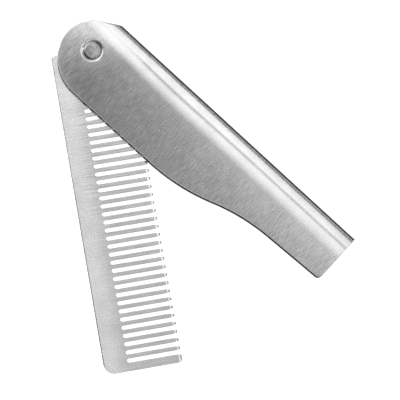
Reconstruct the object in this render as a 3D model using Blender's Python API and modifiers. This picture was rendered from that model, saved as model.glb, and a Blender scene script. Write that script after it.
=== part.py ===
"""Folding pocket comb of stainless steel, lying half open on its back.

The comb swings out of a folded sheet-steel sheath about one countersunk rivet. The origin is on
the rivet's axis, in the plane of the back cheek. +X runs along the sheath to its tail, +Y towards
the folded spine, and +Z up out of the front cheek. Lengths are in metres.
"""

import math

import bmesh
import bpy
from mathutils import Matrix, Vector

MM = 0.001

# Heights. The sheath is a sheet folded double with the comb between its two cheeks.
SHEET = 0.5 * MM
CHEEK_SPAN = 3.0 * MM
MID_HEIGHT = CHEEK_SPAN / 2
COMB_THICKNESS = 1.0 * MM
CLEARANCE = 0.3 * MM

# The spine: each cheek bows gently inwards, then turns tightly round to the other one.
SPINE_Y = 11.34 * MM
BOW_LENGTH = 6.85 * MM
BOW_DROP = 0.2 * MM
SPINE_START_X = 0.9 * MM
BOW_STEPS = 8
BEND_STEPS = 24

# The side view of a cheek: a round head, a straight belly, and a waist that narrows to the tail.
TAIL_X = 90.9 * MM
TAIL_CORNER = 1.3 * MM
HEAD_CENTRE = (0.3 * MM, -0.26 * MM)
HEAD_RADIUS = 9.33 * MM
HEAD_TOP_ANGLE = 122
HEAD_JAW_ANGLE = 188
BELLY_Y = -12.75 * MM
BELLY_END_X = 33.35 * MM
BELLY_END_Y = -12.46 * MM
WAIST_RADIUS = 59.8 * MM
WAIST_ANGLE = 20.4
TAIL_ANGLE = 2.7

# The comb, measured from the rivet: its length, its back edge, and the line of its tooth tips.
COMB_LENGTH = 91.06 * MM
COMB_BACK = -11.88 * MM
COMB_TIPS = 9.96 * MM
COMB_END_CORNER = 3.1 * MM
END_TOOTH_CORNER = 1.1 * MM
HEEL_CORNER = 0.7 * MM
SHOULDER_ANGLE = 18
EYE_RADIUS = 8.4 * MM
EYE_STEPS = 22
HALF_OPEN_ANGLE = 37.4

# The teeth are what is left between equal slots sawn into the plate.
SLOT_COUNT = 33
SLOT_PITCH = 2.303 * MM
SLOT_WIDTH = 1.17 * MM
LAST_SLOT_X = 88.15 * MM
SLOT_ROOT = -5.2 * MM
SLOT_ROOT_RADIUS = 0.57 * MM
LAST_SLOT_CORNER = 0.25 * MM
TIP_TAPER_START = 8.2 * MM
TIP_TAPER = 0.17 * MM
TIP_ROUNDING = 0.36 * MM
TIP_BEVEL_LENGTH = 0.8 * MM
TIP_BEVEL_DEPTH = 0.3 * MM
FIRST_TOOTH_WIDTH = 1.9 * MM

# The rivet: a pin with a conical head at each end, sunk into a countersink of each cheek.
PIN_RADIUS = 1.5 * MM
RIVET_NECK_RADIUS = 1.85 * MM
RIVET_HEAD_RADIUS = 2.6 * MM
RIVET_FLAT_RADIUS = 2.4 * MM
RIVET_CROWN = 0.12 * MM
SINK_RADIUS = 3.1 * MM
SINK_THROAT_RADIUS = 2.35 * MM
RIVET_SIDES = 40

CUT_MARGIN = 1.0 * MM
WELD_DISTANCE = 0.0001 * MM


def clear_scene():
    for old in list(bpy.data.objects):
        bpy.data.objects.remove(old, do_unlink=True)


def new_collection(name):
    collection = bpy.data.collections.new(name)
    bpy.context.scene.collection.children.link(collection)
    return collection


def steel(name, colour, roughness):
    material = bpy.data.materials.new(name)
    material.use_nodes = True
    shader = material.node_tree.nodes["Principled BSDF"]
    shader.inputs["Base Color"].default_value = (*colour, 1.0)
    shader.inputs["Metallic"].default_value = 1.0
    shader.inputs["Roughness"].default_value = roughness
    return material


def arc(centre, radius, start, end, steps):
    """Points on a circle from one angle to another, in degrees, both ends included."""
    points = []
    for step in range(steps + 1):
        angle = math.radians(start + (end - start) * step / steps)
        x = centre[0] + radius * math.cos(angle)
        y = centre[1] + radius * math.sin(angle)
        points.append((x, y))
    return points


def rounded_outline(corners, steps):
    """A closed outline from (x, y, radius) corners, each rounded by an arc of its radius."""
    points = []
    for index, (x, y, radius) in enumerate(corners):
        corner = Vector((x, y))
        if radius == 0:
            points.append((x, y))
            continue
        before = (Vector(corners[index - 1][:2]) - corner).normalized()
        after = (Vector(corners[(index + 1) % len(corners)][:2]) - corner).normalized()
        half_angle = before.angle(after) / 2
        centre = corner + (before + after).normalized() * radius / math.sin(half_angle)
        reach = radius / math.tan(half_angle)
        first = corner + before * reach - centre
        turn = first.angle_signed(corner + after * reach - centre)
        for step in range(steps + 1):
            spoke = Matrix.Rotation(-turn * step / steps, 2) @ first
            points.append(tuple(centre + spoke))
    return points


def as_mesh(curve_object, collection):
    """Turns a curve object into a mesh object whose caps are welded to its walls."""
    graph = bpy.context.evaluated_depsgraph_get()
    mesh = bpy.data.meshes.new_from_object(curve_object.evaluated_get(graph))
    build = bmesh.new()
    build.from_mesh(mesh)
    bmesh.ops.remove_doubles(build, verts=build.verts, dist=WELD_DISTANCE)
    build.to_mesh(mesh)
    build.free()
    name = curve_object.name
    place = curve_object.matrix_world.copy()
    bpy.data.objects.remove(curve_object, do_unlink=True)
    result = bpy.data.objects.new(name, mesh)
    result.matrix_world = place
    collection.objects.link(result)
    return result


def extruded(name, points, depth, collection, closed=True, place=Matrix.Identity(4)):
    """A flat outline, or an open line, drawn out by depth to both sides of its plane."""
    curve = bpy.data.curves.new(name, "CURVE")
    curve.dimensions = "2D"
    curve.fill_mode = "BOTH" if closed else "NONE"
    curve.extrude = depth / 2
    spline = curve.splines.new("POLY")
    spline.points.add(len(points) - 1)
    for point, (x, y) in zip(spline.points, points):
        point.co = (x, y, 0, 1)
    spline.use_cyclic_u = closed
    drawn = bpy.data.objects.new(name, curve)
    drawn.matrix_world = place
    collection.objects.link(drawn)
    bpy.context.view_layer.update()
    return as_mesh(drawn, collection)


def cone(name, low_radius, high_radius, low, high, collection):
    """A round cutter on the rivet's axis, from one height to another."""
    bpy.ops.mesh.primitive_cone_add(vertices=RIVET_SIDES, radius1=low_radius, radius2=high_radius,
                                    depth=high - low, location=(0, 0, (low + high) / 2))
    made = bpy.context.object
    made.name = name
    for owner in list(made.users_collection):
        owner.objects.unlink(made)
    collection.objects.link(made)
    return made


def combine(target, tool, operation):
    """Cuts or crops the target with a tool, which stays in the scene as a wire guide."""
    modifier = target.modifiers.new(tool.name, "BOOLEAN")
    modifier.operation = operation
    modifier.object = tool
    tool.display_type = "WIRE"
    tool.hide_render = True


def smooth(target):
    target.data.shade_smooth()
    target.data.set_sharp_from_angle(angle=math.radians(30))


def fold_profile():
    """The folded sheet's middle line seen from the tail, from one open edge round to the other."""
    cheek_z = CHEEK_SPAN / 2 - SHEET / 2
    slope = math.atan(2 * BOW_DROP / BOW_LENGTH)
    bend_radius = (cheek_z - BOW_DROP) / math.cos(slope)
    bend_y = SPINE_Y - SHEET / 2 - bend_radius
    bow_end = bend_y + bend_radius * math.sin(slope)
    upper = [(BELLY_Y - CUT_MARGIN, cheek_z)]
    for step in range(BOW_STEPS + 1):
        share = step / BOW_STEPS
        upper.append((bow_end - BOW_LENGTH * (1 - share), cheek_z - BOW_DROP * share * share))
    turn = arc((bend_y, 0), bend_radius, 90 - math.degrees(slope), math.degrees(slope) - 90, BEND_STEPS)
    lower = [(y, -z) for y, z in reversed(upper)]
    return upper + turn[1:-1] + lower


def cheek_outline():
    """The sheath's side view, anticlockwise from the top of the tail's end cut."""
    head = Vector(HEAD_CENTRE)
    over = SPINE_Y + CUT_MARGIN
    to_jaw = Vector((math.cos(math.radians(HEAD_JAW_ANGLE)), math.sin(math.radians(HEAD_JAW_ANGLE))))
    jaw_radius = (head.y + HEAD_RADIUS * to_jaw.y - BELLY_Y) / (1 + to_jaw.y)
    jaw = head - (jaw_radius - HEAD_RADIUS) * to_jaw

    top = arc(head, HEAD_RADIUS, HEAD_TOP_ANGLE, HEAD_JAW_ANGLE, 18)
    slope = math.tan(math.radians(HEAD_TOP_ANGLE - 90))
    spine_start = (SPINE_START_X, top[0][1] + (SPINE_START_X - top[0][0]) * slope)
    under = arc(jaw, jaw_radius, HEAD_JAW_ANGLE, 270, 18)[1:]

    waist_centre = (BELLY_END_X, BELLY_END_Y + WAIST_RADIUS)
    waist = arc(waist_centre, WAIST_RADIUS, 270, 270 + WAIST_ANGLE, 10)
    turn = Vector((math.sin(math.radians(WAIST_ANGLE)), -math.cos(math.radians(WAIST_ANGLE))))
    throat_centre = Vector(waist_centre) + 2 * WAIST_RADIUS * turn
    throat = arc(throat_centre, WAIST_RADIUS, 90 + WAIST_ANGLE, 90 + TAIL_ANGLE, 10)[1:]
    tail_y = throat[-1][1] + (TAIL_X - throat[-1][0]) * math.tan(math.radians(TAIL_ANGLE))
    edge = [(x, y, 0) for x, y in [(SPINE_START_X, over), spine_start] + top + under + waist + throat]
    return rounded_outline(edge + [(TAIL_X, tail_y, TAIL_CORNER), (TAIL_X, over, 0)], 5)


def comb_outline():
    """The comb's plate with its slots, from the heel along the back, round and back to the eye."""
    def boss_point(angle):
        return EYE_RADIUS * math.cos(angle), EYE_RADIUS * math.sin(angle)

    half_slot = SLOT_WIDTH / 2
    corners = [(0, COMB_BACK, HEEL_CORNER),
               (COMB_LENGTH, COMB_BACK, COMB_END_CORNER),
               (COMB_LENGTH, COMB_TIPS, END_TOOTH_CORNER)]
    for slot in range(SLOT_COUNT):
        middle = LAST_SLOT_X - slot * SLOT_PITCH
        root = LAST_SLOT_CORNER if slot == 0 else SLOT_ROOT_RADIUS
        corners.append((middle + half_slot + TIP_TAPER, COMB_TIPS, TIP_ROUNDING))
        corners.append((middle + half_slot, TIP_TAPER_START, 0))
        corners.append((middle + half_slot, SLOT_ROOT, root))
        corners.append((middle - half_slot, SLOT_ROOT, root))
        corners.append((middle - half_slot, TIP_TAPER_START, 0))
        corners.append((middle - half_slot - TIP_TAPER, COMB_TIPS, TIP_ROUNDING))

    first_tooth = Vector((middle - half_slot - FIRST_TOOTH_WIDTH, COMB_TIPS))
    corners.append((first_tooth.x, first_tooth.y, END_TOOTH_CORNER))
    tangent = math.atan2(first_tooth.y, first_tooth.x) + math.acos(EYE_RADIUS / first_tooth.length)
    drop = math.tan(math.radians(SHOULDER_ANGLE))
    shoulder_x = drop * (COMB_BACK + EYE_RADIUS)
    shoulder = math.radians(270) + math.asin(shoulder_x / EYE_RADIUS)
    for step in range(EYE_STEPS + 1):
        x, y = boss_point(tangent + (shoulder - tangent) * step / EYE_STEPS)
        corners.append((x, y, 0))
    return rounded_outline(corners, 3)


def make_sheath(parts, cutters):
    across = Matrix(((0, 0, 1, (TAIL_X - HEAD_RADIUS) / 2),
                     (1, 0, 0, 0),
                     (0, 1, 0, MID_HEIGHT),
                     (0, 0, 0, 1)))
    length = TAIL_X + HEAD_RADIUS + 4 * CUT_MARGIN
    sheath = extruded("sheath", fold_profile(), length, parts, closed=False, place=across)
    fold = sheath.modifiers.new("sheet", "SOLIDIFY")
    fold.thickness = SHEET
    fold.offset = 0
    fold.use_even_offset = True

    height = CHEEK_SPAN + 2 * CUT_MARGIN
    side = Matrix.Translation((0, 0, MID_HEIGHT))
    combine(sheath, extruded("sheath_side_view", cheek_outline(), height, cutters, place=side),
            "INTERSECT")

    # Each countersink is a cone that runs on past both faces of its cheek.
    flare = (SINK_RADIUS - SINK_THROAT_RADIUS) / SHEET
    over = 0.6 * SHEET
    wide = SINK_RADIUS + flare * over
    throat = SINK_THROAT_RADIUS - flare * over
    back = cone("back_countersink", wide, throat, -over, SHEET + over, cutters)
    front = cone("front_countersink", throat, wide, CHEEK_SPAN - SHEET - over, CHEEK_SPAN + over,
                 cutters)
    combine(sheath, back, "DIFFERENCE")
    combine(sheath, front, "DIFFERENCE")
    smooth(sheath)
    sheath.data.materials.append(steel("sheath_brushed_steel", (0.56, 0.56, 0.56), 0.32))
    return sheath


def make_comb_blade(parts, cutters, pivot):
    blade = extruded("comb_blade", comb_outline(), COMB_THICKNESS, parts)
    hole_radius = PIN_RADIUS + CLEARANCE
    hole = cone("comb_hole", hole_radius, hole_radius, -COMB_THICKNESS, COMB_THICKNESS, cutters)
    hole.parent = pivot
    combine(blade, hole, "DIFFERENCE")

    # Each face of the tooth tips is ground down to a thin, comfortable edge.
    start = COMB_TIPS - TIP_BEVEL_LENGTH
    fall = TIP_BEVEL_DEPTH / TIP_BEVEL_LENGTH
    lead = CUT_MARGIN / 10
    half = COMB_THICKNESS / 2
    reach = TIP_BEVEL_LENGTH + CUT_MARGIN / 2
    wedge = [(start - lead, half + fall * lead),
             (start + reach, half - fall * reach),
             (start + reach, 2 * half),
             (start - lead, 2 * half)]
    for name, flip in (("upper_tip_bevel", 1), ("lower_tip_bevel", -1)):
        along = Matrix(((0, 0, flip, COMB_LENGTH / 2),
                        (1, 0, 0, 0),
                        (0, flip, 0, 0),
                        (0, 0, 0, 1)))
        cutter = extruded(name, wedge, COMB_LENGTH + CUT_MARGIN, cutters, place=along)
        cutter.parent = pivot
        combine(blade, cutter, "DIFFERENCE")
    smooth(blade)
    blade.data.materials.append(steel("comb_brushed_steel", (0.67, 0.67, 0.67), 0.3))
    blade.parent = pivot
    return blade


def make_pivot_rivet(parts):
    side = [(0, CHEEK_SPAN + RIVET_CROWN),
            (RIVET_FLAT_RADIUS, CHEEK_SPAN + RIVET_CROWN),
            (RIVET_HEAD_RADIUS, CHEEK_SPAN),
            (RIVET_NECK_RADIUS, CHEEK_SPAN - SHEET),
            (PIN_RADIUS, CHEEK_SPAN - SHEET),
            (PIN_RADIUS, SHEET),
            (RIVET_NECK_RADIUS, SHEET),
            (RIVET_HEAD_RADIUS, 0),
            (0, 0)]
    mesh = bpy.data.meshes.new("pivot_rivet")
    edges = [(index, index + 1) for index in range(len(side) - 1)]
    mesh.from_pydata([(x, 0, z) for x, z in side], edges, [])
    rivet = bpy.data.objects.new("pivot_rivet", mesh)
    parts.objects.link(rivet)
    turn = rivet.modifiers.new("turned", "SCREW")
    turn.axis = "Z"
    turn.steps = RIVET_SIDES
    turn.render_steps = RIVET_SIDES
    turn.use_merge_vertices = True
    turn.merge_threshold = WELD_DISTANCE
    mesh.materials.append(steel("rivet_turned_steel", (0.55, 0.55, 0.55), 0.28))
    return rivet


def main():
    clear_scene()
    parts = new_collection("folding_comb")
    cutters = new_collection("cutters")
    pivot = bpy.data.objects.new("pivot", None)
    pivot.location = (0, 0, MID_HEIGHT)
    pivot.rotation_euler = (0, 0, -math.radians(HALF_OPEN_ANGLE))
    parts.objects.link(pivot)
    make_sheath(parts, cutters)
    make_comb_blade(parts, cutters, pivot)
    make_pivot_rivet(parts)


main()
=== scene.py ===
"""A folding pocket comb of brushed stainless steel, lying half open on white paper.

Every piece is made in the frame's own place: the rivet's axis is at the origin, the sheath runs
along +X, its spine faces +Y, and its back cheek lies in the plane Z = 0.
"""

import math

import bmesh
import bpy
from mathutils import Matrix, Vector, geometry, kdtree


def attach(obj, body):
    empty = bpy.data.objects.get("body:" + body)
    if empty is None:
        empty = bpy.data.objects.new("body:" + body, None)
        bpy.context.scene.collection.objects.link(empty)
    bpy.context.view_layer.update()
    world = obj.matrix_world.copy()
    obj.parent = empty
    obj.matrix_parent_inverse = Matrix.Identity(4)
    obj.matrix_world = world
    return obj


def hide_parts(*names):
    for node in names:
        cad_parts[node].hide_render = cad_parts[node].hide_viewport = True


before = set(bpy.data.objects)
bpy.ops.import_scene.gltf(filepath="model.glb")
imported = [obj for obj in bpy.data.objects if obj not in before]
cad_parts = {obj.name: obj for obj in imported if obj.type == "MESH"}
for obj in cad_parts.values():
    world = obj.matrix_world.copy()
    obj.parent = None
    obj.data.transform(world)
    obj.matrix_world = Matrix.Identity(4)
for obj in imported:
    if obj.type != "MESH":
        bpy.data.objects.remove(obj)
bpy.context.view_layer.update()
MM = 0.001


# The table: a sheet of white paper under the comb, wide enough to fill every view of it.
# It is matt and a little luminous, as paper on a light table is, so that the shadows stay faint.

def linear(hex_code):
    """An sRGB hex colour as linear light, with full alpha."""
    channels = [int(hex_code[i:i + 2], 16) / 255 for i in (1, 3, 5)]
    light = [c / 12.92 if c <= 0.04045 else ((c + 0.055) / 1.055) ** 2.4 for c in channels]
    return (*light, 1.0)


def add(tree, kind, links=(), values=None, **settings):
    """Adds a node to a tree: its settings, its sockets' values, and links as (input, node, output)."""
    node = tree.nodes.new(kind)
    for name, value in settings.items():
        setattr(node, name, value)
    for socket, value in (values or {}).items():
        node.inputs[socket].default_value = value
    for socket, source, output in links:
        tree.links.new(source.outputs[output], node.inputs[socket])
    return node


paper = bpy.data.materials.new("white_table_paper")
paper.use_nodes = True
paper_shader = paper.node_tree.nodes["Principled BSDF"]
paper_shader.inputs["Base Color"].default_value = linear("#c8c8c8")
paper_shader.inputs["Roughness"].default_value = 0.9
paper_shader.inputs["Specular IOR Level"].default_value = 0.0
paper_shader.inputs["Emission Color"].default_value = linear("#ffffff")
paper_shader.inputs["Emission Strength"].default_value = 0.93

HALF_TABLE = 3.0
TABLE_DROP = 0.05 * MM
table_corners = [(x * HALF_TABLE, y * HALF_TABLE, 0) for x, y in ((-1, -1), (1, -1), (1, 1), (-1, 1))]
table_mesh = bpy.data.meshes.new("table")
table_mesh.from_pydata(table_corners, [], [(0, 1, 2, 3)])
table_mesh.materials.append(paper)
table = bpy.data.objects.new("table", table_mesh)
table.location.z = -TABLE_DROP
bpy.context.scene.collection.objects.link(table)


# The light: a pale grey room with one dark doorway, and softboxes in it. The flat cheeks mirror the
# weak overhead box; the bow beside the spine leans back far enough to mirror the strong one at the
# spine's side; the window's box lights the countersink's far wall, the far one the ground tooth tips.

DOORWAY = (-0.337, -0.662, 0.669)

world = bpy.data.worlds.new("grey_room")
world.use_nodes = True
room = world.node_tree
around = add(room, "ShaderNodeTexCoord")
upwards = add(room, "ShaderNodeSeparateXYZ", [("Vector", around, "Generated")])
ceiling = add(room, "ShaderNodeMapRange", [("Value", upwards, "Z")],
              {"From Min": 0.1, "From Max": 0.9, "To Min": 0.26, "To Max": 0.34},
              interpolation_type="SMOOTHSTEP")
beside_door = add(room, "ShaderNodeVectorMath", [(0, around, "Generated")], {1: DOORWAY},
                  operation="DOT_PRODUCT")
dark_door = add(room, "ShaderNodeMapRange", [("Value", beside_door, "Value")],
                {"From Min": 0.74, "From Max": 0.88, "To Min": 1.0, "To Max": 0.1},
                interpolation_type="SMOOTHSTEP")
walls = add(room, "ShaderNodeMath", [(0, ceiling, "Result"), (1, dark_door, "Result")],
            operation="MULTIPLY")
room.links.new(walls.outputs["Value"], room.nodes["Background"].inputs["Strength"])
room.nodes["Background"].inputs["Color"].default_value = linear("#ffffff")
bpy.context.scene.world = world


def softbox(name, near, far, along, radiance):
    """A flat rectangular lamp between the middles of its near and far edges, as long as along."""
    near, far, along = Vector(near), Vector(far), Vector(along)
    lamp = bpy.data.lights.new(name, "AREA")
    lamp.shape = "RECTANGLE"
    lamp.size, lamp.size_y = along.length, (far - near).length
    lamp.energy = radiance * math.pi * lamp.size * lamp.size_y
    side, up = along.normalized(), (far - near).normalized()
    holder = bpy.data.objects.new(name, lamp)
    holder.matrix_world = Matrix((side, up, side.cross(up))).transposed().to_4x4()
    holder.location = (near + far) / 2
    bpy.context.scene.collection.objects.link(holder)
    return holder


softbox("spine_side_softbox", (0.056, 0.176, 0.75), (0.056, 0.303, 0.75), (0.376, 0, 0), 1.62)
softbox("head_side_softbox", (-0.27, 0.2, 0.75), (-0.27, 0.33, 0.75), (0.28, 0, 0), 1.55)
softbox("corner_softbox", (-0.75, 0.3, 0.75), (-0.75, 0.6, 0.75), (0.7, 0, 0), 0.75)
softbox("overhead_softbox", (0.055, -0.08, 0.75), (0.055, 0.04, 0.75), (0.38, 0, 0), 1.07)
softbox("tail_side_softbox", (0.6, -0.3, 0.75), (0.6, 0.3, 0.75), (0.7, 0, 0), 0.4)
softbox("window_side_softbox", (-1.25, 0.6, 0.25), (-1.1, 0.6, 1.25), (0, -2.6, 0), 1.8)
softbox("far_side_softbox", (0.47, 0.56, 0.7), (0.47, 0.84, 0.7), (0.6, 0, 0), 2.2)


# The camera: nearly overhead, tilted a little towards the tail's open side, with the spine
# running down to the right, as the comb is photographed.

FIELD_OF_VIEW = 13.07
CAMERA_DISTANCE_MM = 494

camera_data = bpy.data.cameras.new("camera")
camera_data.lens_unit = "FOV"
camera_data.angle = math.radians(FIELD_OF_VIEW)
camera_data.clip_start = 0.01
camera = bpy.data.objects.new("camera", camera_data)
aim_point = Vector((51.1, -10.2, 0.0)) * MM
camera_right = Vector((0.7351, 0.6719, 0.0911)).normalized()
camera_back = Vector((0.0405, -0.1777, 0.9833)).normalized()
camera_up = camera_back.cross(camera_right).normalized()
camera_right = camera_up.cross(camera_back)
camera.matrix_world = Matrix((camera_right, camera_up, camera_back)).transposed().to_4x4()
camera.location = aim_point + camera_back * CAMERA_DISTANCE_MM * MM
bpy.context.scene.collection.objects.link(camera)
bpy.context.scene.camera = camera
bpy.context.scene.view_settings.view_transform = "Standard"


# The sheath: one strip of stainless sheet, blanked to the outline of two cheeks side by side,
# brushed across its length and folded double along the spine. The cheeks stay flat but for a
# gentle bow towards the fold, with the press tool's faint line along it, and for the head's rim.

SHEET = 0.5 * MM
SPAN = 3.0 * MM
MIDDLE = SPAN / 2
SPINE_Y = 11.34 * MM
SPINE_START_X = 0.9 * MM
BOW_LENGTH = 7.0 * MM
BOW_WIDTHS = ((0.0, 0.85), (26.0 * MM, 1.06), (50.0 * MM, 0.98), (91.0 * MM, 0.98))
BOW_DROP = 0.26 * MM
BOW_RISE = 2 * BOW_DROP / BOW_LENGTH
SHOULDER_RISE = 0.12
SHOULDER_SHARE = 0.13
BEND_RADIUS = 1.22 * MM
PRESS_LINE = 4.0 * MM
PRESS_LINE_WIDTH = 0.6 * MM
PRESS_LINE_SLOPE = 0.044
PRESS_LINE_FADE_X = 14.0 * MM
PRESS_LINE_LEAST = 0.6
HEAD = Vector((0.3, -0.26)) * MM
HEAD_RADIUS = 9.33 * MM
HEAD_FLAT_RADIUS = 3.6 * MM
HEAD_DROP = 0.1 * MM
HEAD_FADE_X = 14.0 * MM
RIM_FADE = 0.85
RIM_FADE_Y = 3.0 * MM
RIM_FADE_LENGTH = 8.0 * MM
TAIL_X = 90.9 * MM
EDGE_ROLL = 0.4 * MM
EDGE_ROLL_DROP = 0.025 * MM
EDGE_ROUNDING = 0.09 * MM
SHARP_ANGLE = 50
WELD = 0.002 * MM
SINK_RADIUS = 3.15 * MM
SINK_THROAT = 2.15 * MM
SINK_RIM = 0.12 * MM
SINK_SIDES = 64
SINK_RINGS = (0.35 * MM, 0.7 * MM)


def arc(centre, radius, start, end, steps):
    """Points on a circle from one angle to another, in degrees, both ends included."""
    turns = [math.radians(start + (end - start) * i / steps) for i in range(steps + 1)]
    return [Vector((centre[0] + radius * math.cos(turn), centre[1] + radius * math.sin(turn)))
            for turn in turns]


def evenly(points, spacing):
    """The same open line with points added so that no two neighbours are further apart."""
    result = []
    for a, b in zip(points, points[1:]):
        count = max(1, math.ceil((b - a).length / spacing))
        result += [a.lerp(b, i / count) for i in range(count)]
    return result + [points[-1]]


def cheek_edge():
    """The free edge of one cheek, anticlockwise: spine's start, head, belly, waist, tail corner."""
    spine_turn, jaw_turn, waist_turn, tail_slope = 122, 188, 20.4, 2.7
    belly_y = -12.75 * MM
    to_jaw = Vector((math.cos(math.radians(jaw_turn)), math.sin(math.radians(jaw_turn))))
    jaw_radius = (HEAD.y + HEAD_RADIUS * to_jaw.y - belly_y) / (1 + to_jaw.y)
    jaw = HEAD - (jaw_radius - HEAD_RADIUS) * to_jaw
    top = arc(HEAD, HEAD_RADIUS, spine_turn, jaw_turn, 40)
    rise = (SPINE_START_X - top[0].x) * math.tan(math.radians(spine_turn - 90))
    spine_start = Vector((SPINE_START_X, top[0].y + rise))
    under = arc(jaw, jaw_radius, jaw_turn, 270, 40)[1:]
    waist_radius = 59.8 * MM
    waist_centre = Vector((33.35 * MM, -12.46 * MM + waist_radius))
    waist = arc(waist_centre, waist_radius, 270, 270 + waist_turn, 24)
    turn = Vector((math.sin(math.radians(waist_turn)), -math.cos(math.radians(waist_turn))))
    throat_centre = waist_centre + 2 * waist_radius * turn
    throat = arc(throat_centre, waist_radius, 90 + waist_turn, 90 + tail_slope, 24)[1:]
    corner_radius = 1.3 * MM
    slope = math.radians(tail_slope)
    tail_y = throat[-1].y + (TAIL_X - throat[-1].x) * math.tan(slope)
    reach = corner_radius * math.tan(math.radians(45) - slope / 2)
    corner = arc((TAIL_X - corner_radius, tail_y + reach), corner_radius, 270 + tail_slope, 360, 10)
    return [spine_start] + top + under + waist + throat + corner


def fold_section():
    """The outer skin's section, from the flat cheek round to the middle of the fold.

    Each row holds its distance in from the spine, its half height, and how far the press line lifts it.
    """
    bend_start = math.atan(BOW_RISE + SHOULDER_RISE)
    bow_end = BEND_RADIUS * (1 - math.sin(bend_start))
    half, pressed = MIDDLE, 0.0
    rows = [(bow_end + BOW_LENGTH, half, pressed)]
    steps = 60
    for i in range(1, steps + 1):
        share = (i - 0.5) / steps
        inwards = bow_end + BOW_LENGTH * (1 - share)
        shoulder = max(0.0, (share - 1 + SHOULDER_SHARE) / SHOULDER_SHARE) ** 2
        half -= (BOW_RISE * share + SHOULDER_RISE * shoulder) * BOW_LENGTH / steps
        on_line = math.exp(-((inwards - PRESS_LINE) / PRESS_LINE_WIDTH) ** 2)
        pressed += PRESS_LINE_SLOPE * on_line * BOW_LENGTH / steps
        rows.append((bow_end + BOW_LENGTH * (1 - i / steps), half, pressed))
    bend_steps = 28
    for i in range(1, bend_steps + 1):
        angle = bend_start + (math.pi / 2 - bend_start) * i / bend_steps
        fall = math.cos(angle) / math.cos(bend_start)
        rows.append((BEND_RADIUS * (1 - math.sin(angle)), half * fall, pressed * fall))
    return rows


def bow_width(x):
    """How wide the bow is at a place along the spine, as a share of BOW_LENGTH."""
    for (left, narrow), (right, wide) in zip(BOW_WIDTHS, BOW_WIDTHS[1:]):
        if x <= right:
            share = max(0.0, (x - left) / (right - left))
            return narrow + (wide - narrow) * share * share * (3 - 2 * share)
    return BOW_WIDTHS[-1][1]


section = fold_section()
edge_points = cheek_edge()
fine_edge = evenly(edge_points + [Vector((TAIL_X, SPINE_Y))], 0.04 * MM)
edge_finder = kdtree.KDTree(len(fine_edge))
for number, point in enumerate(fine_edge):
    edge_finder.insert(point.to_3d(), number)
edge_finder.balance()


def skin_height(x, y):
    """The outer skin's height above the middle plane at a point of the side view."""
    out = (Vector((min(x, HEAD.x), y)) - HEAD).length
    eased = max(0.0, out - HEAD_FLAT_RADIUS) / (HEAD_RADIUS - HEAD_FLAT_RADIUS)
    fade = min(1.0, max(0.0, (x - HEAD.x) / HEAD_FADE_X))
    to_spine = min(1.0, max(0.0, (y - RIM_FADE_Y) / RIM_FADE_LENGTH))
    drop = HEAD_DROP * eased ** 2 * (1 - fade * fade * (3 - 2 * fade)) * (1 - RIM_FADE * to_spine)
    from_edge = edge_finder.find((x, y, 0))[2]
    drop += EDGE_ROLL_DROP * max(0.0, 1 - from_edge / EDGE_ROLL) ** 2
    inwards = SPINE_Y - y
    if inwards > BEND_RADIUS:
        inwards = BEND_RADIUS + (inwards - BEND_RADIUS) / bow_width(x)
    if inwards >= section[0][0]:
        return section[0][1] - drop
    shown_line = min(1.0, max(PRESS_LINE_LEAST, x / PRESS_LINE_FADE_X))
    for (far, high, high_line), (near, low, low_line) in zip(section, section[1:]):
        if near <= inwards:
            share = (inwards - near) / (far - near)
            height = low + (high - low) * share + (low_line + (high_line - low_line) * share) * shown_line
            return height * (1 - drop / MIDDLE)
    return 0.0


def within(point, outline):
    """True for a point inside the outline."""
    inside = False
    for a, b in zip(outline, outline[1:] + outline[:1]):
        if (a.y > point.y) != (b.y > point.y):
            if point.x < a.x + (point.y - a.y) * (b.x - a.x) / (b.y - a.y):
                inside = not inside
    return inside


# Straight rows of faces follow the fold from its start to the tail, so the bow shines evenly;
# the rest of the cheek is filled between them and the free edge, finer on the head.
rows = sorted([SPINE_Y - inwards for inwards, _, _ in section] + [edge_points[0].y])
ROLL_STEPS = (0.3, 0.55, 0.78, 1.0)
COLUMNS = 48
columns = sorted([SPINE_START_X + (TAIL_X - SPINE_START_X) * (i / COLUMNS) ** 1.5
                  for i in range(COLUMNS + 1)]
                 + [TAIL_X - EDGE_ROLL * share for share in ROLL_STEPS])
free_edge = evenly(edge_points + [Vector((TAIL_X, rows[0]))], 0.8 * MM)
below_rows = [Vector((x, rows[0])) for x in reversed(columns)][1:]
before_rows = [Vector((SPINE_START_X, y)) for y in rows if rows[0] < y < edge_points[0].y]
panel = free_edge + below_rows + before_rows
sink_edge = arc((0, 0), SINK_RADIUS, 0, 360, SINK_SIDES)[:-1]
fill = [p for ring in SINK_RINGS for p in arc((0, 0), SINK_RADIUS + ring, 0, 360, SINK_SIDES)[:-1]]

# The points inside the head and belly, in millimetres: closer together on the head.
HEAD_STEP, BELLY_STEP = 0.6, 0.9
head_ys = [rows[0] - i * HEAD_STEP * MM for i in range(1, 28)]
for x, ys in ([(-9.3 + HEAD_STEP * i, rows + head_ys) for i in range(17)]
              + [(1.2 + BELLY_STEP * i, head_ys) for i in range(18)]):
    fill += [Vector((x * MM, y)) for y in ys if math.hypot(x * MM, y) > SINK_RADIUS + 1.0 * MM]
fill = [p for p in fill if edge_finder.find(p.to_3d())[2] > EDGE_ROLL + 0.08 * MM]
for before, p, after in zip(free_edge, free_edge[1:], free_edge[2:]):
    inwards = Vector((before.y - after.y, after.x - before.x)).normalized()
    fill += [p + inwards * EDGE_ROLL * share for share in ROLL_STEPS]
fill = [p for p in fill if within(p, panel)
        and (p.y < rows[0] - 0.1 * MM or p.x < SPINE_START_X - 0.1 * MM)]
loops = [(i, (i + 1) % len(panel)) for i in range(len(panel))]
loops += [(len(panel) + i, len(panel) + (i + 1) % len(sink_edge)) for i in range(len(sink_edge))]
filled = geometry.delaunay_2d_cdt(panel + sink_edge + fill, loops, [], 1, 1e-8)
filled_points, filled_faces = filled[0], filled[2]

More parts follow.
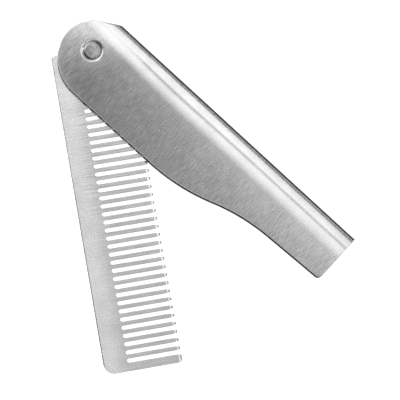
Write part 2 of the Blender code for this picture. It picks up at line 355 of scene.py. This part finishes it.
sheath_build = bmesh.new()
for side in (1, -1):
    made = [sheath_build.verts.new((p.x, p.y, MIDDLE + side * skin_height(p.x, p.y)))
            for p in filled_points]
    for face in filled_faces:
        face_middle = sum((filled_points[i] for i in face), Vector((0, 0))) / len(face)
        if face_middle.length > SINK_RADIUS * 0.999:
            sheath_build.faces.new([made[i] for i in (face if side > 0 else face[::-1])])
    grid = [[sheath_build.verts.new((x, y, MIDDLE + side * skin_height(x, y))) for x in columns]
            for y in rows]
    for low, high in zip(grid, grid[1:]):
        for i in range(len(columns) - 1):
            ring = [low[i], low[i + 1], high[i + 1], high[i]]
            sheath_build.faces.new(ring if side > 0 else ring[::-1])
bmesh.ops.remove_doubles(sheath_build, verts=sheath_build.verts, dist=WELD)
bmesh.ops.delete(sheath_build, geom=[v for v in sheath_build.verts if not v.link_faces], context="VERTS")


def shown(name, build):
    """A new object with the mesh that is being built."""
    mesh = bpy.data.meshes.new(name)
    build.to_mesh(mesh)
    build.free()
    piece = bpy.data.objects.new(name, mesh)
    bpy.context.scene.collection.objects.link(piece)
    return piece


def apply_modifiers(piece):
    """Makes a piece's modifiers part of its mesh."""
    bpy.context.view_layer.update()
    piece_now = piece.evaluated_get(bpy.context.evaluated_depsgraph_get())
    mesh = bpy.data.meshes.new_from_object(piece_now)
    piece.modifiers.clear()
    piece.data = mesh


def ease_edges(piece, width, angle):
    """Breaks a piece's sharp edges by a small rounding."""
    easing = piece.modifiers.new("eased_edges", "BEVEL")
    easing.width = width
    easing.segments = 2
    easing.limit_method = "ANGLE"
    easing.angle_limit = math.radians(angle)
    easing.use_clamp_overlap = False
    apply_modifiers(piece)


def smooth_faces(piece, angle):
    """Shades a piece smoothly between its sharp edges, the broad faces keeping flat."""
    piece.data.shade_smooth()
    piece.data.set_sharp_from_angle(angle=math.radians(angle))
    flat_first = piece.modifiers.new("flat_faces_first", "WEIGHTED_NORMAL")
    flat_first.keep_sharp = True
    apply_modifiers(piece)


sheath = shown("sheath_folded_sheet", sheath_build)
wall = sheath.modifiers.new("sheet", "SOLIDIFY")
wall.thickness = SHEET
wall.offset = -1
wall.use_even_offset = True
ease_edges(sheath, EDGE_ROUNDING, SHARP_ANGLE)

# The countersink: its wall leans in from the skin to the throat through the sheet's thickness.
for vertex in sheath.data.vertices:
    radius = math.hypot(vertex.co.x, vertex.co.y)
    depth = min(abs(vertex.co.z - SPAN), abs(vertex.co.z))
    if radius < SINK_RADIUS + SINK_RIM:
        wanted = radius - (SINK_RADIUS - SINK_THROAT) * min(1.0, depth / SHEET)
        vertex.co.x *= wanted / radius
        vertex.co.y *= wanted / radius
smooth_faces(sheath, 40)


GRAIN_SCALE = 10


def grain_map(piece, along):
    """A UV map laid by the brushing, V along it and U across it, for the gloss to follow."""
    across = Vector((along.y, -along.x))
    layer = piece.data.uv_layers.new(name="grain")
    for loop in piece.data.loops:
        point = piece.data.vertices[loop.vertex_index].co
        layer.data[loop.index].uv = (point.xy.dot(across) * GRAIN_SCALE, point.xy.dot(along) * GRAIN_SCALE)


STREAK_WIDTH = 0.25 * MM
SCRATCH_WIDTH = 0.3 * MM
SCRATCH_LENGTH = 14.0
SCRATCH_SLANT = 0.9


def brushed_steel(name, dark, light, roughness, anisotropy, along, length, cloud=5.0 * MM, cloudy=0.3):
    """Stainless steel with a straight brushed grain: streaks of tone, gloss and height along it.

    A brushing belt leaves lines about 0.08 mm wide, and handling leaves finer scratches. They are
    drawn 0.25 and 0.3 mm wide, so that they show.
    """
    metal = bpy.data.materials.new(name)
    metal.use_nodes = True
    tree = metal.node_tree
    shader = tree.nodes["Principled BSDF"]
    shader.inputs["Metallic"].default_value = 1.0
    shader.inputs["Anisotropic"].default_value = anisotropy
    place = add(tree, "ShaderNodeTexCoord")
    heading = math.atan2(along.y, along.x)
    lined = add(tree, "ShaderNodeMapping", [("Vector", place, "Object")],
                {"Rotation": (0, 0, heading), "Scale": (length, 1.0, 1.0)}, vector_type="TEXTURE")
    streaks = add(tree, "ShaderNodeTexNoise", [("Vector", lined, "Vector")],
                  {"Scale": 1 / STREAK_WIDTH, "Detail": 3.0, "Roughness": 0.6})
    clouds = add(tree, "ShaderNodeTexNoise", [("Vector", place, "Object")],
                 {"Scale": 1 / cloud, "Detail": 2.0})
    slanted = add(tree, "ShaderNodeMapping", [("Vector", place, "Object")],
                  {"Rotation": (0, 0, heading - SCRATCH_SLANT), "Scale": (SCRATCH_LENGTH, 1.0, 1.0)},
                  vector_type="TEXTURE")
    scratches = add(tree, "ShaderNodeTexNoise", [("Vector", slanted, "Vector")],
                    {"Scale": 1 / SCRATCH_WIDTH, "Detail": 1.0})
    mixed = add(tree, "ShaderNodeMix", [("A", streaks, "Fac"), ("B", clouds, "Fac")], {"Factor": cloudy})
    handled = add(tree, "ShaderNodeMapRange", [("Value", scratches, "Fac")],
                  {"From Min": 0.66, "From Max": 0.8, "To Min": 0.0, "To Max": 0.2})
    level = add(tree, "ShaderNodeMath", [(0, mixed, "Result"), (1, handled, "Result")], operation="ADD")
    tone = add(tree, "ShaderNodeValToRGB", [("Fac", level, "Value")])
    tone.color_ramp.elements[0].position = 0.3
    tone.color_ramp.elements[0].color = linear(dark)
    tone.color_ramp.elements[1].position = 0.7
    tone.color_ramp.elements[1].color = linear(light)
    add(tree, "ShaderNodeMapRange", [("Value", streaks, "Fac")],
        {"From Min": 0.3, "From Max": 0.7, "To Min": roughness - 0.05, "To Max": roughness + 0.05},
        name="gloss")
    add(tree, "ShaderNodeBump", [("Height", streaks, "Fac")],
        {"Strength": 0.04, "Distance": 0.004 * MM}, name="lines")
    add(tree, "ShaderNodeTangent", direction_type="UV_MAP", uv_map="grain", name="lay")
    for socket, source, output in (("Roughness", "gloss", "Result"), ("Normal", "lines", "Normal"),
                                   ("Tangent", "lay", "Tangent"), ("Base Color", tone.name, "Color")):
        tree.links.new(tree.nodes[source].outputs[output], shader.inputs[socket])
    return metal, tree, shader, place, tone


# The colour sockets of a Mix node, by number: it uses the same names for numbers and colours.
MIX_A, MIX_B, MIX_RESULT = 6, 7, 2

# Cross-brushed sheet: the belt reaches neither the inside nor the sheared edges, which stay as they came from
# the mill and the shears, darker and duller. The outer turn of the fold is painted near black, a painted dark
# reflection, and the flat cheeks carry a painted sheen, lighter and darker along them.
sheath_steel, tree, shader, place, tone = brushed_steel(
    "cross_brushed_stainless_sheet", "#b9b9b9", "#dddddd", 0.25, 0.93, Vector((0.0, 1.0)), 12.0)
facing = add(tree, "ShaderNodeSeparateXYZ", [("Vector", place, "Normal")])
upright = add(tree, "ShaderNodeMath", [(0, facing, "Z")], operation="ABSOLUTE")
off_edge = add(tree, "ShaderNodeMapRange", [("Value", upright, "Value")],
               {"From Min": 0.2, "From Max": 0.7})
# Painted dark reflection: where the skin turns steeply away near the spine, at the fold's outer turn, the
# colour is painted near black.
off_fold = add(tree, "ShaderNodeMapRange", [("Value", upright, "Value")],
               {"From Min": 0.87, "From Max": 0.995}, interpolation_type="SMOOTHSTEP")
spot = add(tree, "ShaderNodeSeparateXYZ", [("Vector", place, "Object")])
off_spine = add(tree, "ShaderNodeMapRange", [("Value", spot, "Y")],
                {"From Min": SPINE_Y - 1.5 * MM, "From Max": SPINE_Y - 2.0 * MM})
flat_or_far = add(tree, "ShaderNodeMath", [(0, off_fold, "Result"), (1, off_spine, "Result")],
                  operation="MAXIMUM")
# Painted sheen on the flat cheeks: the colour is painted darker below the rivet and along the waist, lighter
# over the head's top, and lighter again towards the tail.
half_y = add(tree, "ShaderNodeMath", [(0, spot, "Y")], {1: 0.5}, operation="MULTIPLY")
slant = add(tree, "ShaderNodeMath", [(0, half_y, "Value"), (1, spot, "X")], operation="SUBTRACT")
on_head = add(tree, "ShaderNodeMapRange", [("Value", slant, "Value")],
              {"From Min": -8 * MM, "From Max": 8 * MM, "To Min": 0.68, "To Max": 1.4})
to_tail = add(tree, "ShaderNodeMapRange", [("Value", spot, "X")],
              {"From Min": 5.0 * MM, "From Max": 80 * MM, "To Min": 0.0, "To Max": 0.4})
along_flat = add(tree, "ShaderNodeMath", [(0, on_head, "Result"), (1, to_tail, "Result")], operation="ADD")
# Near the bow the painted sheen gives way to the plain grain tone.
to_bow = add(tree, "ShaderNodeMapRange", [("Value", spot, "Y")],
             {"From Min": 3 * MM, "From Max": 6 * MM}, interpolation_type="SMOOTHSTEP")
painted_sheen_level = add(tree, "ShaderNodeMix", [("Factor", to_bow, "Result"), ("A", along_flat, "Value")], {"B": 1.0})
painted_sheen_tone = add(tree, "ShaderNodeHueSaturation", [("Color", tone, "Color"), ("Value", painted_sheen_level, "Result")])
# The painted dark reflection (#3a3a3a) is mixed in on the fold's outer turn; elsewhere the grain tone with
# its painted sheen shows.
brushed = add(tree, "ShaderNodeMix", [("Factor", flat_or_far, "Value"), (MIX_B, painted_sheen_tone, "Color")],
              {MIX_A: linear("#3a3a3a")}, data_type="RGBA")
sheared = add(tree, "ShaderNodeMix", [("Factor", off_edge, "Result"), (MIX_B, brushed, MIX_RESULT)],
              {MIX_A: linear("#929292")}, data_type="RGBA")
from_middle = add(tree, "ShaderNodeMath", [(0, spot, "Z")], {1: MIDDLE, 2: MIDDLE - SHEET + 0.02 * MM},
                  operation="COMPARE")
finish = add(tree, "ShaderNodeMix", [("Factor", from_middle, "Value"), (MIX_A, sheared, MIX_RESULT)],
             {MIX_B: linear("#7a7a7a")}, data_type="RGBA")
tree.links.new(finish.outputs[MIX_RESULT], shader.inputs["Base Color"])
duller = add(tree, "ShaderNodeMix",
             [("Factor", from_middle, "Value"), ("A", tree.nodes["gloss"], "Result")], {"B": 0.65})
tree.links.new(duller.outputs["Result"], shader.inputs["Roughness"])
sheath.data.materials.append(sheath_steel)
grain_map(sheath, Vector((0.0, 1.0)))
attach(sheath, "handle")
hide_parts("sheath")


# The comb: one flat plate of stainless steel with its teeth sawn into one edge, their roots left
# round by the cutter and their tips ground thin. It turns about the rivet on a round eye. The eye's
# bore isn't cut here: the rivet's pin stands in the plate, between the cheeks.

COMB_THICKNESS = 1.0 * MM
COMB_BACK = -11.88 * MM
COMB_TIPS = 9.96 * MM
COMB_LENGTH = 91.06 * MM
SLOTS = 33
PITCH = 2.303 * MM
LAST_SLOT_X = 88.15 * MM
SLOT_HALF = 0.585 * MM
SLOT_ROOT = -5.2 * MM
ROOT_RADIUS = 0.57 * MM
TIP_START = 8.2 * MM
TIP_TAPER = 0.17 * MM
TIP_RADIUS = 0.36 * MM
TIP_GRIND = ((0.85 * MM, 0.0), (0.4 * MM, 0.18 * MM), (0.0, 0.27 * MM))
BACK_ROUNDING = ((0.26 * MM, 0.0), (0.05 * MM, 0.12 * MM), (0.0, 0.24 * MM))
HALF_OPEN = 37.4
EYE_RADIUS = 8.4 * MM
HEEL_SLOPE = 18
HEEL_CORNER = 0.7 * MM
BACK_CORNER = 3.1 * MM
TOOTH_CORNER = 1.1 * MM
FIRST_TOOTH = 1.9 * MM
ARRIS = 0.07 * MM


def rounded(corners, steps):
    """An outline from (x, y, radius) corners, each one rounded by an arc of its radius."""
    points = []
    for before, (x, y, radius), after in zip(corners, corners[1:], corners[2:]):
        corner = Vector((x, y))
        if radius == 0:
            points.append(corner)
            continue
        back = (Vector(before[:2]) - corner).normalized()
        ahead = (Vector(after[:2]) - corner).normalized()
        half = back.angle(ahead) / 2
        centre = corner + (back + ahead).normalized() * radius / math.sin(half)
        first = corner + back * radius / math.tan(half) - centre
        turn = first.angle_signed(corner + ahead * radius / math.tan(half) - centre)
        points += [centre + Matrix.Rotation(-turn * i / steps, 2) @ first for i in range(steps + 1)]
    return points


def ground_off(profile, from_edge):
    """How much the grinding takes off each face of the plate at a distance from its edge."""
    for (start, shallow), (end, deep) in zip(profile, profile[1:]):
        if end <= from_edge < start:
            return shallow + (deep - shallow) * (start - from_edge) / (start - end)
    return 0.0 if from_edge > 0 else profile[-1][1]


# One slot, from the middle of one tooth's tip down round its root to the middle of the next tip,
# and the rest of the plate's edge, from the first tooth round the eye, the back and the far end.
slot_line = [(PITCH / 2 + MM, COMB_TIPS, 0),
             (SLOT_HALF + TIP_TAPER, COMB_TIPS, TIP_RADIUS),
             (SLOT_HALF, TIP_START, 0),
             (SLOT_HALF, SLOT_ROOT, ROOT_RADIUS),
             (-SLOT_HALF, SLOT_ROOT, ROOT_RADIUS),
             (-SLOT_HALF, TIP_START, 0),
             (-SLOT_HALF - TIP_TAPER, COMB_TIPS, TIP_RADIUS),
             (-PITCH / 2 - MM, COMB_TIPS, 0)]
slot_line = [Vector((PITCH / 2, COMB_TIPS))] + rounded(slot_line, 6) + [Vector((-PITCH / 2, COMB_TIPS))]
first_tooth_x = LAST_SLOT_X - (SLOTS - 1) * PITCH - SLOT_HALF - FIRST_TOOTH
last_tip = Vector((LAST_SLOT_X - (SLOTS - 0.5) * PITCH, COMB_TIPS))
first_tip = Vector((LAST_SLOT_X + PITCH / 2, COMB_TIPS))
eye_start = (math.atan2(COMB_TIPS, first_tooth_x)
             + math.acos(EYE_RADIUS / math.hypot(first_tooth_x, COMB_TIPS)))
heel_run = math.tan(math.radians(HEEL_SLOPE)) * (COMB_BACK + EYE_RADIUS)
eye_end = math.radians(270) + math.asin(heel_run / EYE_RADIUS)
plate_corners = ([(last_tip.x, last_tip.y, 0), (last_tip.x - 0.05 * MM, COMB_TIPS, 0),
                  (first_tooth_x, COMB_TIPS, TOOTH_CORNER)]
                 + [(p.x, p.y, 0) for p in arc((0, 0), EYE_RADIUS, math.degrees(eye_start),
                                               math.degrees(eye_end), 48)]
                 + [(0, COMB_BACK, HEEL_CORNER), (COMB_LENGTH, COMB_BACK, BACK_CORNER),
                    (COMB_LENGTH, COMB_TIPS, TOOTH_CORNER), (first_tip.x, first_tip.y, 0)])
plate_line = [last_tip] + rounded(plate_corners, 8)[1:] + [first_tip]
comb_lines = bpy.data.meshes.new("comb_lines")
turn_back = len(slot_line)
comb_lines.from_pydata([(p.x, p.y, 0) for p in slot_line + plate_line],
                       [(i, i + 1) for i in range(turn_back + len(plate_line) - 1) if i != turn_back - 1], [])
is_slot = comb_lines.attributes.new("slot_line", "BOOLEAN", "POINT")
is_slot.data.foreach_set("value", [True] * len(slot_line) + [False] * len(plate_line))

# The saw's work as a rule: the slot's line is set out along the plate at its pitch, joined to the
# plate's edge, filled, and given the plate's thickness.
toothing = bpy.data.node_groups.new("sawn_comb_plate", "GeometryNodeTree")
toothing.interface.new_socket("Lines", in_out="INPUT", socket_type="NodeSocketGeometry")
for label, kind in (("Slots", "NodeSocketInt"), ("Pitch", "NodeSocketFloat"),
                    ("First slot", "NodeSocketFloat"), ("Thickness", "NodeSocketFloat"),
                    ("Steel", "NodeSocketMaterial")):
    toothing.interface.new_socket(label, in_out="INPUT", socket_type=kind)
toothing.interface.new_socket("Comb", in_out="OUTPUT", socket_type="NodeSocketGeometry")
given = add(toothing, "NodeGroupInput")
named = add(toothing, "GeometryNodeInputNamedAttribute", (), {"Name": "slot_line"}, data_type="BOOLEAN")
parted = add(toothing, "GeometryNodeSeparateGeometry",
             [("Geometry", given, "Lines"), ("Selection", named, "Attribute")], domain="POINT")
start = add(toothing, "ShaderNodeCombineXYZ", [("X", given, "First slot")])
back_step = add(toothing, "ShaderNodeMath", [(0, given, "Pitch")], {1: -1.0}, operation="MULTIPLY")
step = add(toothing, "ShaderNodeCombineXYZ", [("X", back_step, "Value")])
row = add(toothing, "GeometryNodeMeshLine",
          [("Count", given, "Slots"), ("Start Location", start, "Vector"), ("Offset", step, "Vector")],
          mode="OFFSET")
copies = add(toothing, "GeometryNodeInstanceOnPoints",
             [("Points", row, "Mesh"), ("Instance", parted, "Selection")])
real = add(toothing, "GeometryNodeRealizeInstances", [("Geometry", copies, "Instances")])
joined = add(toothing, "GeometryNodeJoinGeometry",
             [("Geometry", real, "Geometry"), ("Geometry", parted, "Inverted")])
welded = add(toothing, "GeometryNodeMergeByDistance", [("Geometry", joined, "Geometry")],
             {"Distance": WELD})
loop = add(toothing, "GeometryNodeMeshToCurve", [("Mesh", welded, "Geometry")])
face = add(toothing, "GeometryNodeFillCurve", [("Curve", loop, "Curve")], mode="NGONS")
raised = add(toothing, "GeometryNodeExtrudeMesh",
             [("Mesh", face, "Mesh"), ("Offset Scale", given, "Thickness")], {"Individual": False},
             mode="FACES")
turned = add(toothing, "GeometryNodeFlipFaces", [("Mesh", face, "Mesh")])
closed = add(toothing, "GeometryNodeJoinGeometry",
             [("Geometry", raised, "Mesh"), ("Geometry", turned, "Mesh")])
sealed = add(toothing, "GeometryNodeMergeByDistance", [("Geometry", closed, "Geometry")],
             {"Distance": WELD})
plain = add(toothing, "GeometryNodeRealizeInstances", [("Geometry", sealed, "Geometry")])
clad = add(toothing, "GeometryNodeSetMaterial",
           [("Geometry", plain, "Geometry"), ("Material", given, "Steel")])
add(toothing, "NodeGroupOutput", [("Comb", clad, "Geometry")])

# Tooth-wise brushed plate: the back strip is painted brighter than the teeth and the heel brighter than the
# far end, a painted sheen; the ground tips are brighter than the teeth behind them, and the sheared and sawn
# sides are the darkest.
teeth_along = Vector((math.sin(math.radians(HALF_OPEN)), math.cos(math.radians(HALF_OPEN))))
comb_steel, tree, shader, place, tone = brushed_steel(
    "tooth_wise_brushed_stainless_plate", "#c8c8c8", "#eeeeee", 0.25, 0.93, teeth_along, 40.0)
over_teeth = add(tree, "ShaderNodeMapping", [("Vector", place, "Object")],
                 {"Rotation": (0, 0, math.radians(HALF_OPEN))})
across = add(tree, "ShaderNodeSeparateXYZ", [("Vector", over_teeth, "Vector")])
# Painted sheen: the back strip is painted brighter, the teeth darker.
back_strip_painted_sheen = add(tree, "ShaderNodeMapRange", [("Value", across, "Y")],
           {"From Min": COMB_BACK + 2.5 * MM, "From Max": SLOT_ROOT + 1.5 * MM,
            "To Min": 1.0, "To Max": 0.75}, interpolation_type="SMOOTHSTEP")
plate_facing = add(tree, "ShaderNodeSeparateXYZ", [("Vector", place, "Normal")])
plate_upright = add(tree, "ShaderNodeMath", [(0, plate_facing, "Z")], operation="ABSOLUTE")
sides = add(tree, "ShaderNodeMapRange", [("Value", plate_upright, "Value")],
            {"From Min": 0.3, "From Max": 0.8, "To Min": 0.3, "To Max": 1.0})
ground_from = COMB_TIPS - TIP_GRIND[0][0]
ground = add(tree, "ShaderNodeMapRange", [("Value", across, "Y")],
             {"From Min": ground_from - 0.05 * MM, "From Max": ground_from, "To Min": 0.0, "To Max": 0.28})
lit = add(tree, "ShaderNodeMath", [(0, back_strip_painted_sheen, "Result"), (1, ground, "Result")], operation="ADD")
# Painted sheen along the plate: painted brighter at the heel, fading towards the far end.
heel = add(tree, "ShaderNodeMapRange", [("Value", across, "X")],
           {"From Min": 15 * MM, "From Max": 75 * MM, "To Min": 1.14, "To Max": 0.98})
along_plate = add(tree, "ShaderNodeMath", [(0, lit, "Value"), (1, heel, "Result")], operation="MULTIPLY")
shade = add(tree, "ShaderNodeMath", [(0, along_plate, "Value"), (1, sides, "Result")], operation="MULTIPLY")
# The grain tone with the painted sheen, the brighter tips and the darker sides.
plate_tone_and_painted_sheen = add(tree, "ShaderNodeHueSaturation", [("Color", tone, "Color"), ("Value", shade, "Value")])
tree.links.new(plate_tone_and_painted_sheen.outputs["Color"], shader.inputs["Base Color"])

comb_source = bpy.data.objects.new("comb_source", comb_lines)
bpy.context.scene.collection.objects.link(comb_source)
sawing = comb_source.modifiers.new("sawn_comb_plate", "NODES")
sawing.node_group = toothing
given_sizes = {"Slots": SLOTS, "Pitch": PITCH, "First slot": LAST_SLOT_X, "Thickness": COMB_THICKNESS,
               "Steel": comb_steel}
for item in toothing.interface.items_tree:
    if item.item_type == "SOCKET" and item.in_out == "INPUT" and item.name in given_sizes:
        sawing[item.identifier] = given_sizes[item.name]
apply_modifiers(comb_source)

comb_build = bmesh.new()
comb_build.from_mesh(comb_source.data)
bpy.data.objects.remove(comb_source)
bmesh.ops.translate(comb_build, verts=comb_build.verts, vec=(0, 0, -COMB_THICKNESS / 2))

# The faces are parted at both ends of the row of slots, and where the grinding starts and bends.
partings = [((x, 0, 0), (1, 0, 0)) for x in (LAST_SLOT_X + PITCH / 2, LAST_SLOT_X - (SLOTS - 0.5) * PITCH)]
partings += [((0, COMB_TIPS - inset, 0), (0, 1, 0)) for inset, _ in TIP_GRIND[:2]]
partings += [((0, COMB_BACK + inset, 0), (0, 1, 0)) for inset, _ in BACK_ROUNDING[:2]]
for through, square_to in partings:
    bmesh.ops.bisect_plane(comb_build, geom=comb_build.verts[:] + comb_build.edges[:] + comb_build.faces[:],
                           dist=1e-8, plane_co=through, plane_no=square_to)
for vertex in comb_build.verts:
    taken = ground_off(TIP_GRIND, COMB_TIPS - vertex.co.y)
    taken += ground_off(BACK_ROUNDING, vertex.co.y - COMB_BACK)
    vertex.co.z *= 1 - taken / (COMB_THICKNESS / 2)
half_open = Matrix.Translation((0, 0, MIDDLE)) @ Matrix.Rotation(math.radians(-HALF_OPEN), 4, "Z")
bmesh.ops.transform(comb_build, matrix=half_open, verts=comb_build.verts)
bmesh.ops.recalc_face_normals(comb_build, faces=comb_build.faces)
comb = shown("comb_plate", comb_build)
comb.data.materials.append(comb_steel)
ease_edges(comb, ARRIS, SHARP_ANGLE)
smooth_faces(comb, 16)
grain_map(comb, teeth_along)
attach(comb, "comb")
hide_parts("comb_blade")


# The rivet: a solid stainless pin, turned, pushed through both cheeks and the comb, and its two
# ends spread into the countersinks, so that a groove is left round each end.

# Half of its section, in millimetres: distance from the axis, and height.
RIVET_SIDE = ((0, 3.12), (0.6, 3.115), (1.2, 3.1), (1.7, 3.076), (2.0, 3.055), (2.16, 3.035), (2.42, 2.89),
              (2.5, 2.8), (2.52, 2.76), (2.12, 2.56), (1.5, 2.5), (1.5, 0.5), (2.12, 0.44), (2.52, 0.24),
              (2.5, 0.2), (2.42, 0.1), (2.16, 0.01), (2.0, 0.0), (0, 0.0))
RIVET_TURNS = 64

rivet_build = bmesh.new()
chain = [rivet_build.verts.new((x * MM, 0, z * MM)) for x, z in RIVET_SIDE]
edges = [rivet_build.edges.new(pair) for pair in zip(chain, chain[1:])]
bmesh.ops.spin(rivet_build, geom=chain + edges, cent=(0, 0, 0), axis=(0, 0, 1),
               angle=2 * math.pi, steps=RIVET_TURNS, use_merge=True)
bmesh.ops.remove_doubles(rivet_build, verts=rivet_build.verts, dist=0.001 * MM)
bmesh.ops.recalc_face_normals(rivet_build, faces=rivet_build.faces)
rivet = shown("rivet_pin", rivet_build)
smooth_faces(rivet, 18)
grain_map(rivet, Vector((0.0, 1.0)))

# Spread and faced pin: duller than the sheet, with the setting tool's blotches on its end.
rivet_steel = brushed_steel("spread_stainless_pin", "#747474", "#d4d4d4", 0.32, 0.3,
                            Vector((0.0, 1.0)), 3.0, 1.3 * MM, 0.65)[0]
rivet.data.materials.append(rivet_steel)
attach(rivet, "handle")
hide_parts("pivot_rivet")
